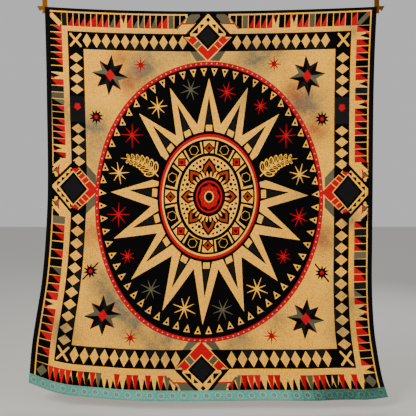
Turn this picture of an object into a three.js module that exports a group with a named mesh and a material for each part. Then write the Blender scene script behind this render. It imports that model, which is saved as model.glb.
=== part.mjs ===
// A bed quilt hung face forward from two plain brass hooks at its top corners.
// Millimetres, +Z up. X runs to the right of someone facing the quilt and its face looks along -Y.
// The origin is midway between the hooks, on the plane of their backs, level with the quilt's top corners.
import * as THREE from "three";

// The quilt as it was cut, laid flat
const QUILT_WIDE = 1930;
const QUILT_LONG = 2195;
const QUILT_THICK = 6;

// The strips folded over its edges
const SIDE_BINDING = 27;
const TOP_BINDING = 15;
const HEM_BAND = 58;
const STRIP_CLOTH = 1;
const STRIP_GAP = 0.8;
const STRIP_OUT = QUILT_THICK / 2;
const PRESSED_HALF = STRIP_OUT - STRIP_CLOTH - STRIP_GAP;
const FOLD_OUT = STRIP_GAP + STRIP_CLOTH;
const BUTT_GAP = 0.4;

// Sewn lines of the face, as insets from the side, top and hem edges
const SEAM_DEEP = 2;
const SEAM_HALF = 6;
const SHOULDER = { side: SIDE_BINDING + 7, top: TOP_BINDING + 7, hem: HEM_BAND + 7 };
const KEY_SEAM = { side: 109, top: 98, hem: 142 };
const BAND_OUTER_SEAM = { side: 141, top: 126, hem: 177 };
const BAND_INNER_SEAM = { side: 232, top: 225, hem: 286 };

// The oval medallion with the tape round it, and the disc in its middle: centre and half sizes, laid flat
const OVAL = { across: 958, down: 1075, wide: 675, long: 793 };
const DISC = { across: 958, down: 1046, wide: 298, long: 360 };
const TAPE_WIDE = 23;
const TAPE_THICK = 0.8;
const TAPE_GAP = 0.3;

// How it hangs: half widths at the waist, the sag of the top edge, and the hem's swing to the front
const WAIST_LEFT = 916;
const WAIST_RIGHT = 910;
const TOP_SAG = 25;
const SAG_BIAS = 0.2;
const HEM_SWING = 100;
const SWING_POWER = 1.3;
const SIDE_SHARE = 0.42;
const LEFT_SWING_REACH = 0.36;
const RIGHT_SWING_REACH = 0.25;

// The left side rides up a little, and its lower corner more
const SIDE_LIFT = 30;
const SIDE_LIFT_REACH = 0.4;
const CORNER_LIFT = 40;
const CORNER_LIFT_REACH = 0.2;

// How far each side stands outside its waist line, from the top (0) to the hem (1)
const SPREAD = [
  { at: 0, left: 10, right: 16 },
  { at: 0.12, left: 5, right: 6 },
  { at: 0.25, left: 2, right: 1 },
  { at: 0.47, left: 0, right: 0 },
  { at: 0.6, left: 13, right: -1 },
  { at: 0.71, left: 37, right: -1 },
  { at: 0.82, left: 77, right: 12 },
  { at: 0.89, left: 101, right: 34 },
  { at: 0.95, left: 115, right: 60 },
  { at: 1, left: 124, right: 92 },
];

// The soft folds that open towards the hem: place across at the hem, drift on the way up, reach and depth
const FOLDS = [
  { across: 0.085, drift: 0.06, reach: 0.07, depth: 14, from: 0.6 },
  { across: 0.2, drift: 0.1, reach: 0.08, depth: -12, from: 0.62 },
  { across: 0.4, drift: 0, reach: 0.13, depth: 6, from: 0.45 },
  { across: 0.66, drift: -0.03, reach: 0.12, depth: -7, from: 0.5 },
  { across: 0.86, drift: -0.05, reach: 0.07, depth: -9, from: 0.66 },
  { across: 0.945, drift: -0.03, reach: 0.05, depth: 10, from: 0.7 },
];

// The hooks: an upright strap behind each top corner with a small lug that points outwards
const HOOK_X = 928;
const HOOK_WIDE = 28;
const HOOK_THICK = 4;
const HOOK_TOP = 58;
const HOOK_FOOT = 34;
const LUG_REACH = 30;
const LUG_TOP = 7;
const LUG_TIP = -21;
const HOOK_CLEAR = 0.6;
const HANG_BACK = HOOK_THICK + HOOK_CLEAR + STRIP_OUT;

// Columns and rows of the mesh. The columns stand closer together towards the sides, where the folds are
const COLUMNS = 26;
const ROWS = 24;
const COLUMN_CROWDING = 0.45;
const ROW_CROWDING = 0;
const NORMAL_STEP = 2;

const CLOTH_FACE = { color: 0xd2a86e, roughness: 0.9, metalness: 0 };
const CLOTH_DARK = { color: 0x14141a, roughness: 0.92, metalness: 0 };
const CLOTH_TEAL = { color: 0x6fb39c, roughness: 0.88, metalness: 0 };
const CLOTH_RED = { color: 0xbe0f14, roughness: 0.85, metalness: 0 };
const BRASS = { color: 0xb9842f, roughness: 0.38, metalness: 0.9 };

const { lerp, clamp, smoothstep } = THREE.MathUtils;

// A smooth curve through one column of a table, read at a place between its rows.
function along(rows, column, at) {
  const last = rows.length - 1;
  let i = 0;
  while (i < last - 1 && at > rows[i + 1].at) i += 1;
  const slopeAt = (k) => {
    const before = rows[Math.max(k - 1, 0)];
    const after = rows[Math.min(k + 1, last)];
    return (after[column] - before[column]) / (after.at - before.at);
  };
  const gap = rows[i + 1].at - rows[i].at;
  const f = (at - rows[i].at) / gap;
  const rise = rows[i + 1][column] - rows[i][column];
  const smooth = f * f * (3 - 2 * f);
  const leave = f * (1 - f) * (1 - f) * slopeAt(i) * gap;
  const arrive = f * f * (f - 1) * slopeAt(i + 1) * gap;
  return rows[i][column] + rise * smooth + leave + arrive;
}

// How far the folds stand forward of the plain hang at a place on the cloth.
function foldDepth(across, down) {
  let depth = 0;
  for (const fold of FOLDS) {
    const off = (across - fold.across - fold.drift * (1 - down)) / fold.reach;
    if (Math.abs(off) < 1) depth += fold.depth * (1 - off * off) ** 2 * smoothstep(down, fold.from, 1);
  }
  return depth;
}

// The share of the hem's swing that a place across the cloth takes: least at the sides.
function swingShare(across, down) {
  const leftEdge = SIDE_SHARE * (1 - smoothstep(down, 0.55, 1));
  const fromLeft = clamp(1 - across / LEFT_SWING_REACH, 0, 1.1) ** 2.2;
  const fromRight = clamp(1 - (1 - across) / RIGHT_SWING_REACH, 0, 1.1) ** 2.4;
  return 1 - (1 - leftEdge) * fromLeft - (1 - SIDE_SHARE) * fromRight;
}

// The share of one side's spread that a place takes, from all of it at that side to none at the other.
function spreadShare(across) {
  const even = 1 - across;
  const rounded = (1 + Math.cos(Math.PI * clamp(across, 0, 1))) / 2;
  return (even + rounded) / 2;
}

// The place in the hung quilt's middle layer of a point u from the left edge and v from the top edge.
function place(u, v) {
  const across = u / QUILT_WIDE;
  const down = v / QUILT_LONG;
  const side = 2 * across - 1;
  const leftSpread = along(SPREAD, "left", down) * spreadShare(across);
  const rightSpread = along(SPREAD, "right", down) * spreadShare(1 - across);
  const sag = TOP_SAG * (1 - side * side) * (1 - SAG_BIAS * side) * (1 - down);
  const sideLift = SIDE_LIFT * clamp(1 - across / SIDE_LIFT_REACH, 0, 1) ** 2 * smoothstep(down, 0, 0.5);
  const cornerLift =
    CORNER_LIFT * clamp(1 - across / CORNER_LIFT_REACH, 0, 1) ** 1.8 * smoothstep(down, 0.7, 1);
  const swing = HEM_SWING * Math.max(down, 0) ** SWING_POWER * swingShare(across, down);
  return new THREE.Vector3(
    lerp(-WAIST_LEFT, WAIST_RIGHT, across) - leftSpread + rightSpread,
    -HANG_BACK - swing - foldDepth(across, down),
    -v - sag + sideLift + cornerLift,
  );
}

// A point of the hung cloth, moved off its middle layer: a positive lift is towards the face.
function lifted(u, v, lift) {
  const alongU = place(u + NORMAL_STEP, v).sub(place(u - NORMAL_STEP, v));
  const alongV = place(u, v + NORMAL_STEP).sub(place(u, v - NORMAL_STEP));
  const facing = alongV.cross(alongU).normalize();
  return place(u, v).addScaledVector(facing, lift);
}

// Places along an edge, from 0 to its length, even or crowded towards both ends.
function stations(length, count, crowding) {
  return Array.from({ length: count + 1 }, (_, k) => {
    const even = k / count;
    const crowded = (1 - Math.cos(Math.PI * even)) / 2;
    return length * lerp(even, crowded, crowding);
  });
}

const columnStations = stations(QUILT_WIDE, COLUMNS, COLUMN_CROWDING);
const rowStations = stations(QUILT_LONG, ROWS, ROW_CROWDING);

// A ring parallel to the edges: top edge left to right, right side down, hem right to left, left side up.
// Under the folded strips its points stand straight in from the edge, and further in they close up evenly.
function borderRing({ side, top, hem }) {
  const underStrips = side <= SHOULDER.side;
  const fit = (at, length, near, far) =>
    underStrips ? clamp(at, near, length - far) : lerp(near, length - far, at / length);
  const us = columnStations.map((u) => fit(u, QUILT_WIDE, side, side));
  const vs = rowStations.map((v) => fit(v, QUILT_LONG, top, hem));
  return [
    ...us.slice(0, -1).map((u) => [u, top]),
    ...vs.slice(0, -1).map((v) => [QUILT_WIDE - side, v]),
    ...us.slice(1).reverse().map((u) => [u, QUILT_LONG - hem]),
    ...vs.slice(1).reverse().map((v) => [side, v]),
  ];
}

// An ellipse moved out by a distance, with a point towards each point of the quilt's edge.
function ellipseRing({ across, down, wide, long }, by) {
  return borderRing({ side: 0, top: 0, hem: 0 }).map(([u, v]) => {
    const angle = Math.atan2((v - down) / long, (u - across) / wide);
    return [across + (wide + by) * Math.cos(angle), down + (long + by) * Math.sin(angle)];
  });
}

// A ring part of the way from one ring to another.
function between(inner, outer, share) {
  return inner.map(([u, v], i) => [lerp(u, outer[i][0], share), lerp(v, outer[i][1], share)]);
}

// Grows or shrinks an inset by the same distance on every edge.
function moved({ side, top, hem }, by) {
  return { side: side + by, top: top + by, hem: hem + by };
}

// The three rings of a sewn line: a shoulder, the sunken stitch line and the other shoulder.
function seamRings(ringAt) {
  const half = QUILT_THICK / 2;
  return [
    { ring: ringAt(-SEAM_HALF), half },
    { ring: ringAt(0), half: half - SEAM_DEEP, back: true },
    { ring: ringAt(SEAM_HALF), half },
  ];
}

// The rings of a sewn line that runs parallel to the edges, from its inner shoulder to its outer one.
function borderSeam(insets) {
  return seamRings((by) => borderRing(moved(insets, -by)));
}

// Every ring of the panel's face from the centre outwards. Those marked back shape its back too.
function panelRings() {
  const half = QUILT_THICK / 2;
  const plain = (ring) => ({ ring, half, back: true });
  const disc = ellipseRing(DISC, 0);
  const tapeInner = ellipseRing(OVAL, -TAPE_WIDE);
  const tapeOuter = ellipseRing(OVAL, 0);
  const fieldEdge = borderRing(moved(BAND_INNER_SEAM, SEAM_HALF));
  return [
    plain(ellipseRing(DISC, -DISC.wide / 2)),
    ...seamRings((by) => ellipseRing(DISC, by)),
    ...[0.33, 0.67].map((share) => plain(between(disc, tapeInner, share))),
    { ring: tapeInner, half },
    plain(tapeOuter),
    ...[0.25, 0.5, 0.75].map((share) => plain(between(tapeOuter, fieldEdge, share))),
    ...[BAND_INNER_SEAM, BAND_OUTER_SEAM, KEY_SEAM].flatMap(borderSeam),
    plain(borderRing(SHOULDER)),
    { ring: borderRing({ side: SIDE_BINDING, top: TOP_BINDING, hem: HEM_BAND }), half: PRESSED_HALF, back: true },
    { ring: borderRing({ side: 0, top: 0, hem: 0 }), half: PRESSED_HALF, back: true },
  ];
}

// A mesh from its points and triangles.
function meshOf(name, points, triangles, material) {
  const geometry = new THREE.BufferGeometry();
  geometry.setAttribute("position", new THREE.Float32BufferAttribute(points.flatMap((p) => [p.x, p.y, p.z]), 3));
  geometry.setIndex(triangles);
  geometry.computeVertexNormals();
  const mesh = new THREE.Mesh(geometry, new THREE.MeshStandardMaterial(material));
  mesh.name = name;
  return mesh;
}

// Triangles between two closed loops of points, each given by its first index and count.
function bandBetween(first, second, count) {
  const triangles = [];
  for (let i = 0; i < count; i += 1) {
    const j = (i + 1) % count;
    triangles.push(first + i, second + i, second + j, first + i, second + j, first + j);
  }
  return triangles;
}

// The quilted panel: pieced face, filling and backing stitched into one thick sheet.
function quiltPanel() {
  const rings = panelRings();
  const faceRings = [...rings].reverse();
  const backRings = rings.filter((ring) => ring.back);
  const count = rings[0].ring.length;
  const loops = [
    ...faceRings.map(({ ring, half }) => ring.map(([u, v]) => lifted(u, v, half))),
    ...backRings.map(({ ring, half }) => {
      const backHalf = half === PRESSED_HALF ? half : QUILT_THICK / 2;
      return ring.map(([u, v]) => lifted(u, v, -backHalf));
    }),
  ];
  const points = loops.flat();
  const triangles = [];
  const faceLast = (faceRings.length - 1) * count;
  for (let k = 0; k < loops.length; k += 1) {
    const next = (k + 1) % loops.length;
    if (k === faceRings.length - 1) continue;
    triangles.push(...bandBetween(k * count, next * count, count));
  }
  const faceCentre = points.push(lifted(DISC.across, DISC.down, QUILT_THICK / 2)) - 1;
  const backCentre = points.push(lifted(DISC.across, DISC.down, -QUILT_THICK / 2)) - 1;
  const backFirst = faceLast + count;
  for (let i = 0; i < count; i += 1) {
    const j = (i + 1) % count;
    triangles.push(faceLast + i, faceCentre, faceLast + j);
    triangles.push(backFirst + j, backCentre, backFirst + i);
  }
  return meshOf("quilt_panel", points, triangles, CLOTH_FACE);
}

// The end face of a folded strip, between the outer line and the lining line of its section.
function foldedEnd(start, count) {
  const triangles = [];
  for (let i = 0; i < count / 2 - 1; i += 1) {
    const outer = start + i;
    const lining = start + count - 1 - i;
    triangles.push(outer, outer + 1, lining - 1, outer, lining - 1, lining);
  }
  return triangles;
}

// A folded strip from its sections, one at each station: outer points, then lining points.
function foldedStrip(name, sections, material) {
  const count = sections[0].length;
  const last = (sections.length - 1) * count;
  const triangles = [...foldedEnd(0, count), ...foldedEnd(last, count).reverse()];
  for (let first = 0; first < last; first += count) {
    triangles.push(...bandBetween(first, first + count, count));
  }
  return meshOf(name, sections.flat(), triangles, material);
}

// The section of a strip folded over an edge: inset from the edge and lift off the middle layer.
function foldedSection(wide) {
  const inner = STRIP_OUT - STRIP_CLOTH;
  const outer = [
    [wide, STRIP_OUT],
    [0, STRIP_OUT],
    [-FOLD_OUT, STRIP_OUT / 2],
    [-FOLD_OUT, -STRIP_OUT / 2],
    [0, -STRIP_OUT],
    [wide, -STRIP_OUT],
  ];
  const lining = [
    [wide, -inner],
    [0, -inner],
    [-STRIP_GAP, -inner],
    [-STRIP_GAP, inner],
    [0, inner],
    [wide, inner],
  ];
  return [...outer, ...lining];
}

// The places of a strip along its edge, with its own two ends in place of those past them.
function placesBetween(all, from, to) {
  return [from, ...all.filter((at) => at > from + 1 && at < to - 1), to];
}

// The mitre at a top corner: how far along the other edge the joint lies at a given inset.
function mitre(inset, own, other) {
  return -FOLD_OUT + ((inset + FOLD_OUT) * (other + FOLD_OUT)) / (own + FOLD_OUT) + BUTT_GAP / 2;
}

// The binding down one side, mitred at the top corner and stopped just above the hem band.
function sideBinding(name, right) {
  const foot = QUILT_LONG - HEM_BAND - BUTT_GAP;
  const sections = placesBetween(rowStations, 0, foot).map((v) =>
    foldedSection(SIDE_BINDING).map(([inset, lift]) => {
      const joint = mitre(inset, SIDE_BINDING, TOP_BINDING);
      return lifted(right ? QUILT_WIDE - inset : inset, Math.max(v, joint), lift);
    }),
  );
  return foldedStrip(name, right ? sections : sections.reverse(), CLOTH_DARK);
}

// The binding along the top edge, between the two mitres.
function topBinding() {
  const sections = placesBetween(columnStations, 0, QUILT_WIDE).map((u) =>
    foldedSection(TOP_BINDING).map(([inset, lift]) => {
      const joint = mitre(inset, TOP_BINDING, SIDE_BINDING);
      return lifted(clamp(u, joint, QUILT_WIDE - joint), inset, lift);
    }),
  );
  return foldedStrip("binding_top", sections, CLOTH_DARK);
}

// The printed band folded over the hem, from side to side.
function hemBand() {
  const sections = placesBetween(columnStations, -FOLD_OUT, QUILT_WIDE + FOLD_OUT).map((u) =>
    foldedSection(HEM_BAND).map(([inset, lift]) => lifted(u, QUILT_LONG - inset, lift)),
  );
  return foldedStrip("hem_band", sections.reverse(), CLOTH_TEAL);
}

// The narrow tape sewn round the oval medallion.
function medallionTape() {
  const low = QUILT_THICK / 2 + TAPE_GAP;
  const high = low + TAPE_THICK;
  const inner = ellipseRing(OVAL, -TAPE_WIDE);
  const outer = ellipseRing(OVAL, 0);
  const corners = [
    [outer, high],
    [inner, high],
    [inner, low],
    [outer, low],
  ];
  const count = outer.length;
  const points = corners.flatMap(([ring, lift]) => ring.map(([u, v]) => lifted(u, v, lift)));
  const triangles = corners.flatMap((_, k) => bandBetween(k * count, ((k + 1) % corners.length) * count, count));
  return meshOf("medallion_tape", points, triangles, CLOTH_RED);
}

// One brass hook, its outline drawn in the plane of the wall and pushed out by its thickness.
function hook(name, side) {
  const half = HOOK_WIDE / 2;
  const outline = new THREE.Shape();
  outline.moveTo(-half, -HOOK_FOOT);
  outline.lineTo(half, -HOOK_FOOT);
  outline.lineTo(half, LUG_TIP / 2);
  outline.lineTo(half + LUG_REACH / 2, LUG_TIP);
  outline.lineTo(half + LUG_REACH, LUG_TOP);
  outline.lineTo(half, LUG_TOP);
  outline.lineTo(half, HOOK_TOP - half);
  outline.absarc(0, HOOK_TOP - half, half, 0, Math.PI, false);
  outline.closePath();
  const geometry = new THREE.ExtrudeGeometry(outline, { depth: HOOK_THICK, bevelEnabled: false, curveSegments: 10 });
  geometry.rotateX(Math.PI / 2);
  const mesh = new THREE.Mesh(geometry, new THREE.MeshStandardMaterial(BRASS));
  mesh.name = name;
  mesh.scale.x = side;
  mesh.position.x = side * HOOK_X;
  return mesh;
}

const quilt = new THREE.Group();
quilt.add(quiltPanel());
quilt.add(sideBinding("binding_left", false), sideBinding("binding_right", true), topBinding(), hemBand());
quilt.add(medallionTape());

const hooks = new THREE.Group();
hooks.add(hook("hook_left", -1), hook("hook_right", 1));

const hungQuilt = new THREE.Group();
hungQuilt.add(quilt, hooks);

export default hungQuilt;
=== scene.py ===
# A pieced bed quilt hung face forward from two brass hooks: looks, stage, light and camera.
# Metres. A place on the cloth laid flat is (u, v): u from its left edge, v down from its top edge.
import math
import random
import bpy
import numpy as np
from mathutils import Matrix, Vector, noise
from mathutils.geometry import delaunay_2d_cdt


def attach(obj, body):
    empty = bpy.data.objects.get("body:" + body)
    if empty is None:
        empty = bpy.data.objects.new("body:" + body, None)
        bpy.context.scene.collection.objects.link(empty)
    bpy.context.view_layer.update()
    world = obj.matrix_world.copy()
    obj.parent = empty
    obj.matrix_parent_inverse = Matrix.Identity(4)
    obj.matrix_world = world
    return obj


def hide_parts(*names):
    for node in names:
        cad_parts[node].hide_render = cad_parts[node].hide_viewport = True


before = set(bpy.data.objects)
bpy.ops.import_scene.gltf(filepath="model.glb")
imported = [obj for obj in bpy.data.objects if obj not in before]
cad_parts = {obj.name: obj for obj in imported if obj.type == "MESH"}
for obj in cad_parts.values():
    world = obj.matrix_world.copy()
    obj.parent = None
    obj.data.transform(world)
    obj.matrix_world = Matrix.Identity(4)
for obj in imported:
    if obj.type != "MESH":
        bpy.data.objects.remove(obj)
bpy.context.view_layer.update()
TAU = 2 * math.pi

# The quilt as it was cut, laid flat
WIDE = 1.930
LONG = 2.195
THICK = 0.006
HALF = THICK / 2

# The strips folded over its edges
SIDE_BINDING = 0.027
TOP_BINDING = 0.015
HEM_BAND = 0.058
STRIP_CLOTH = 0.001
STRIP_GAP = 0.0008
PRESSED_HALF = HALF - STRIP_CLOTH - STRIP_GAP
PRESSED_REACH = 0.007
FOLD_OUT = STRIP_GAP + STRIP_CLOTH
BUTT_GAP = 0.0004

# Sewn lines of the face, as insets from the side, top and hem edges
LINE_EDGE = {"side": 0.035, "top": 0.0235, "hem": HEM_BAND}
KEY_SEAM = {"side": 0.109, "top": 0.098, "hem": 0.142}
BAND_OUTER = {"side": 0.141, "top": 0.126, "hem": 0.177}
BAND_INNER = {"side": 0.232, "top": 0.225, "hem": 0.286}
SEAM_DEEP = 0.002
SEAM_REACH = 0.006

# The oval medallion with its tape, the disc in it, the disc's middle and the ellipse of the rays' tips
OVAL = {"u": 0.958, "v": 1.075, "wide": 0.675, "long": 0.793}
DISC = {"u": 0.958, "v": 1.046, "wide": 0.298, "long": 0.360}
MIDDLE = {"u": 0.958, "v": 1.046, "wide": 0.176, "long": 0.231}
TIPS = {"u": 0.958, "v": 1.069, "wide": 0.580, "long": 0.694}
TAPE_WIDE = 0.023
TAPE_LIFT = 0.0003
TAPE_THICK = 0.0008

# How it hangs, the same shape as the construction solids have
WAIST_LEFT = 0.916
WAIST_RIGHT = 0.910
TOP_SAG = 0.025
SAG_BIAS = 0.2
HEM_SWING = 0.100
SWING_POWER = 1.3
SIDE_SHARE = 0.42
LEFT_SWING_REACH = 0.36
RIGHT_SWING_REACH = 0.25
SIDE_LIFT = 0.030
SIDE_LIFT_REACH = 0.4
CORNER_LIFT = 0.040
CORNER_LIFT_REACH = 0.2
HOOK_THICK = 0.004
HANG_BACK = HOOK_THICK + 0.0006 + HALF
SPREAD_AT = (0, 0.12, 0.25, 0.47, 0.6, 0.71, 0.82, 0.89, 0.95, 1)
SPREAD_LEFT = (0.010, 0.005, 0.002, 0, 0.013, 0.037, 0.077, 0.101, 0.115, 0.124)
SPREAD_RIGHT = (0.016, 0.006, 0.001, 0, -0.001, -0.001, 0.012, 0.034, 0.060, 0.092)
FOLDS = (
    {"across": 0.085, "drift": 0.06, "reach": 0.07, "depth": 0.014, "start": 0.6},
    {"across": 0.2, "drift": 0.1, "reach": 0.08, "depth": -0.012, "start": 0.62},
    {"across": 0.4, "drift": 0, "reach": 0.13, "depth": 0.006, "start": 0.45},
    {"across": 0.66, "drift": -0.03, "reach": 0.12, "depth": -0.007, "start": 0.5},
    {"across": 0.86, "drift": -0.05, "reach": 0.07, "depth": -0.009, "start": 0.66},
    {"across": 0.945, "drift": -0.03, "reach": 0.05, "depth": 0.010, "start": 0.7},
)

# How finely the cloth is meshed
SEAM_STEP = 0.014
FACE_STEP = 0.0095
BACK_STEP = 0.045
STRIP_STEP = 0.012
PATCH_STEP = 0.1

# The rows of a lattice and how clear it keeps of the seams, as shares of its step
ROW_SHARE = 0.87
FACE_CLEAR = 0.32
BACK_CLEAR = 0.4


# The camera stands where the photograph was taken from, and looks slightly down
def make_camera():
    data = bpy.data.cameras.new("camera")
    data.sensor_width = 36
    data.lens = 54.95
    camera = bpy.data.objects.new("camera", data)
    camera.location = (-0.0157, -3.6, -0.967)
    camera.rotation_euler = (math.radians(87.5), 0, 0)
    bpy.context.collection.objects.link(camera)
    bpy.context.scene.camera = camera


def smoothstep(x, low, high):
    x = np.clip((x - low) / (high - low), 0, 1)
    return x * x * (3 - 2 * x)


# A smooth curve through the values given at SPREAD_AT
def along(values, at):
    spots = np.array(SPREAD_AT, float)
    values = np.array(values, float)
    last = len(spots) - 1
    before = np.maximum(np.arange(last + 1) - 1, 0)
    after = np.minimum(np.arange(last + 1) + 1, last)
    slopes = (values[after] - values[before]) / (spots[after] - spots[before])
    i = np.clip(np.searchsorted(spots, at, side="left") - 1, 0, last - 1)
    gap = spots[i + 1] - spots[i]
    f = (at - spots[i]) / gap
    rise = values[i + 1] - values[i]
    return (
        values[i] + rise * f * f * (3 - 2 * f)
        + f * (1 - f) ** 2 * slopes[i] * gap
        + f * f * (f - 1) * slopes[i + 1] * gap
    )


def fold_depth(across, down):
    depth = np.zeros_like(across)
    for fold in FOLDS:
        off = (across - fold["across"] - fold["drift"] * (1 - down)) / fold["reach"]
        hump = np.clip(1 - off * off, 0, None) ** 2
        depth += fold["depth"] * hump * smoothstep(down, fold["start"], 1)
    return depth


# The share of the hem's swing that a place across the cloth takes: least at the sides
def swing_share(across, down):
    left_edge = SIDE_SHARE * (1 - smoothstep(down, 0.55, 1))
    from_left = np.clip(1 - across / LEFT_SWING_REACH, 0, 1.1) ** 2.2
    from_right = np.clip(1 - (1 - across) / RIGHT_SWING_REACH, 0, 1.1) ** 2.4
    return 1 - (1 - left_edge) * from_left - (1 - SIDE_SHARE) * from_right


def spread_share(across):
    rounded = (1 + np.cos(math.pi * np.clip(across, 0, 1))) / 2
    return (1 - across + rounded) / 2


# Where the points of the cloth's middle layer hang
def hang(u, v):
    across = u / WIDE
    down = v / LONG
    side = 2 * across - 1
    spread = along(SPREAD_RIGHT, down) * spread_share(1 - across)
    spread = spread - along(SPREAD_LEFT, down) * spread_share(across)
    sag = TOP_SAG * (1 - side * side) * (1 - SAG_BIAS * side) * (1 - down)
    side_lift = SIDE_LIFT * np.clip(1 - across / SIDE_LIFT_REACH, 0, 1) ** 2 * smoothstep(down, 0, 0.5)
    corner_lift = (
        CORNER_LIFT * np.clip(1 - across / CORNER_LIFT_REACH, 0, 1) ** 1.8 * smoothstep(down, 0.7, 1)
    )
    swing = HEM_SWING * np.maximum(down, 0) ** SWING_POWER * swing_share(across, down)
    x = -WAIST_LEFT + (WAIST_LEFT + WAIST_RIGHT) * across + spread
    y = -HANG_BACK - swing - fold_depth(across, down)
    z = -v - sag + side_lift + corner_lift
    return np.stack([x, y, z], axis=-1)


# Points of the hung cloth moved off its middle layer: a positive lift is towards the face
def lifted(u, v, lift):
    u = np.asarray(u, float)
    v = np.asarray(v, float)
    step = 0.002
    along_u = hang(u + step, v) - hang(u - step, v)
    along_v = hang(u, v + step) - hang(u, v - step)
    facing = np.cross(along_v, along_u)
    facing /= np.linalg.norm(facing, axis=-1, keepdims=True)
    return hang(u, v) + facing * np.asarray(lift, float)[..., None]


# Distance of flat places from an ellipse, counted outwards
def off_ellipse(u, v, ellipse):
    du = u - ellipse["u"]
    dv = v - ellipse["v"]
    share = np.sqrt((du / ellipse["wide"]) ** 2 + (dv / ellipse["long"]) ** 2)
    reach = np.sqrt(du * du + dv * dv)
    return reach - reach / np.maximum(share, 1e-6)


# How far inside the line at the given insets flat places lie
def inside_line(u, v, insets):
    sides = np.minimum(u, WIDE - u) - insets["side"]
    ends = np.minimum(v - insets["top"], LONG - v - insets["hem"])
    return np.minimum(sides, ends)


# The pattern: patches laid over each other in the order they are cut

patches = []
chance = random.Random(11)


def patch(kind, points, tone=None):
    tone = chance.uniform(-1, 1) if tone is None else tone
    patches.append((kind, tone, [tuple(p) for p in points]))


# A flat place from its distance along an edge of the quilt and in from it
def by_edge(side, at, inset):
    if side == "top":
        return (at, inset)
    if side == "hem":
        return (at, LONG - inset)
    if side == "left":
        return (inset, at)
    return (WIDE - inset, at)


def edge_name(side):
    return "side" if side in ("left", "right") else side


def edge_patch(kind, side, points, tone=None):
    patch(kind, [by_edge(side, at, inset) for at, inset in points], tone)


def box_patch(kind, insets, tone=None):
    left, top = insets["side"], insets["top"]
    right, foot = WIDE - insets["side"], LONG - insets["hem"]
    patch(kind, [(left, top), (right, top), (right, foot), (left, foot)], tone)


# A point of an ellipse grown by a share, at an angle clockwise from the top
def on_ellipse(ellipse, share, angle):
    return (
        ellipse["u"] + ellipse["wide"] * share * math.sin(angle),
        ellipse["v"] - ellipse["long"] * share * math.cos(angle),
    )


# An ellipse with both its half sizes grown by a distance
def grown(ellipse, by):
    return dict(ellipse, wide=ellipse["wide"] + by, long=ellipse["long"] + by)


def ellipse_patch(kind, ellipse, share, sides=160):
    patch(kind, [on_ellipse(ellipse, share, TAU * k / sides) for k in range(sides)], 0.0)


# A place at a distance from another, at an angle clockwise from the top
def around(centre, radius, angle):
    return (centre[0] + radius * math.sin(angle), centre[1] - radius * math.cos(angle))


# A small round or many-sided patch
def dot(kind, centre, radius, sides, turn=0.0, tone=0.0):
    patch(kind, [around(centre, radius, turn + TAU * k / sides) for k in range(sides)], tone)


# A straight bar between two places, each end with its own width
def bar(kind, start, end, start_wide, end_wide=None, tone=None):
    end_wide = start_wide if end_wide is None else end_wide
    du, dv = end[0] - start[0], end[1] - start[1]
    length = math.hypot(du, dv)
    nu, nv = -dv / length, du / length
    corners = [(start, start_wide), (end, end_wide), (end, -end_wide), (start, -start_wide)]
    patch(kind, [(p[0] + nu * w / 2, p[1] + nv * w / 2) for p, w in corners], tone)


# The keys of the outer border, a letter for each:
# R red corner, G grey corner, K plain black, k charcoal, g grey, r mostly red, C left cream with a sliver
KEY_GAP = 0.0035
KEY_SLANT = 0.0015
KEY_CHARTS = {
    ("top", 0): "kRRRRrRRGRCrGGRGRrgKK",
    ("top", 1): "KKgRRRRCKRCRRgRRKRRKr",
    ("left", 0): "RRRRRRKCrkgGRKRRRRCR",
    ("left", 1): "gRRKRKGRRrCRRRrKRK",
    ("right", 0): "RCrrRKRrCkRCRrRRKRRr",
    ("right", 1): "RkRRgKRrkGRCCRrRRKRC",
    ("hem", 0): "rRRrKRkRgCCRCRRCRCRgC",
    ("hem", 1): "RgRrRCrrCCCRgRRKkRCRC",
}

# The blocks set on point over the middle of each border: the place of their middle, how near the keys come,
# and the half sizes along and across the border of the black core, the red half and the sawtooth half
BLOCKS = {
    "top": {"at": 0.950, "inset": 0.142, "keys": 0.128,
            "core": (0.068, 0.069), "red": (0.134, 0.133), "saw": (0.122, 0.130)},
    "hem": {"at": 0.950, "inset": 0.174, "keys": 0.135,
            "core": (0.071, 0.076), "red": (0.140, 0.156), "saw": (0.124, 0.142)},
    "left": {"at": 1.025, "inset": 0.153, "keys": 0.163,
             "core": (0.088, 0.080), "red": (0.146, 0.148), "saw": (0.133, 0.132)},
    "right": {"at": 1.030, "inset": 0.149, "keys": 0.163,
              "core": (0.093, 0.085), "red": (0.152, 0.158), "saw": (0.138, 0.138)},
}


def key(side, first, last, letter):
    near = LINE_EDGE[edge_name(side)]
    far = KEY_SEAM[edge_name(side)]
    deep = far - near
    slant = chance.uniform(-KEY_SLANT, KEY_SLANT)
    body = [(first, near), (last, near), (last + slant, far), (first + slant, far)]
    ground = {"k": "charcoal", "g": "grey", "r": "red", "C": "cream"}.get(letter, "black")
    edge_patch(ground, side, body)
    start, end = (last, first) if side == "left" else (first, last)
    peak = near + deep * chance.uniform(0.0, 0.35)
    if letter in "RG":
        corner = [(start + slant, far), (end + slant, far), (end, peak)]
        edge_patch("red" if letter == "R" else "grey", side, corner)
    if letter == "r":
        wedge = [(start, near), (end, near), (start, near + deep * chance.uniform(0.4, 0.7))]
        edge_patch("black", side, wedge)
    if letter == "C":
        middle = (start + end) / 2
        edge_patch("black", side, [(start, near), (end, near), (middle, near + deep * 0.75)])
        edge_patch("red", side, [(start, near), (middle, near), (start, near + deep * 0.35)])


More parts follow.
